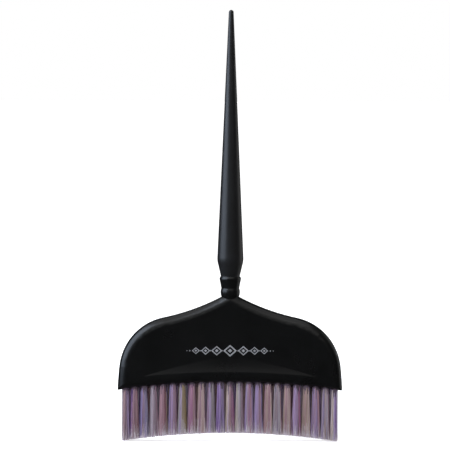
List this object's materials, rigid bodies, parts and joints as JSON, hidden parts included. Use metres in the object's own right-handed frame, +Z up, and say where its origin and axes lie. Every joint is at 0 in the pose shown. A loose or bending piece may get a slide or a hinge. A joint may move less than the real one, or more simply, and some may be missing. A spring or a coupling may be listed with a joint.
{
  "type": "tint brush",
  "caption": "Wide hair-tinting brush: dished head with staggered rows of mixed-colour bristle tufts along an arched edge, and a round handle that tapers to a rat tail.",
  "frame": {"origin": "under the middle of the brush, at the level of the lowest bristle tips", "axes": "+Z up along the handle, -Y out of the front face, +X to the right seen from the front"},
  "size_m": [0.1252, 0.0146, 0.24],
  "materials": {
    "head_plastic": "satin black, fine moulded grain",
    "handle_plastic": "satin black, smooth",
    "bristle_mauve": "satin synthetic filament",
    "bristle_lavender": "satin synthetic filament",
    "bristle_purple": "satin synthetic filament",
    "bristle_grey": "satin synthetic filament",
    "bristle_cream": "satin synthetic filament",
    "anchor_metal": "bright drawn flat wire",
    "silver_print": "metallic pad print"
  },
  "bodies": {
    "root": {"head": "head_plastic", "handle": "handle_plastic", "tuft_front_01": "bristle_cream", "tuft_front_02": "bristle_mauve", "tuft_front_03": "bristle_lavender", "tuft_front_04": "bristle_grey", "tuft_front_05": "bristle_mauve", "tuft_front_06": "bristle_lavender", "tuft_front_07": "bristle_grey", "tuft_front_08": "bristle_mauve", "tuft_front_09": "bristle_cream", "tuft_front_10": "bristle_lavender", "tuft_front_11": "bristle_purple", "tuft_front_12": "bristle_cream", "tuft_front_13": "bristle_grey", "tuft_front_14": "bristle_lavender", "tuft_front_15": "bristle_mauve", "tuft_front_16": "bristle_mauve", "tuft_front_17": "bristle_grey", "tuft_front_18": "bristle_cream", "tuft_front_19": "bristle_purple", "tuft_front_20": "bristle_cream", "tuft_front_21": "bristle_lavender", "tuft_front_22": "bristle_lavender", "tuft_front_23": "bristle_cream", "tuft_rear_01": "bristle_mauve", "tuft_rear_02": "bristle_purple", "tuft_rear_03": "bristle_cream", "tuft_rear_04": "bristle_mauve", "tuft_rear_05": "bristle_lavender", "tuft_rear_06": "bristle_purple", "tuft_rear_07": "bristle_mauve", "tuft_rear_08": "bristle_grey", "tuft_rear_09": "bristle_mauve", "tuft_rear_10": "bristle_purple", "tuft_rear_11": "bristle_lavender", "tuft_rear_12": "bristle_mauve", "tuft_rear_13": "bristle_cream", "tuft_rear_14": "bristle_purple", "tuft_rear_15": "bristle_mauve", "tuft_rear_16": "bristle_lavender", "tuft_rear_17": "bristle_mauve", "tuft_rear_18": "bristle_purple", "tuft_rear_19": "bristle_grey", "tuft_rear_20": "bristle_mauve", "tuft_rear_21": "bristle_purple", "tuft_rear_22": "bristle_mauve", "anchors_front": "anchor_metal", "anchors_rear": "anchor_metal"}
  },
  "joints": []
}
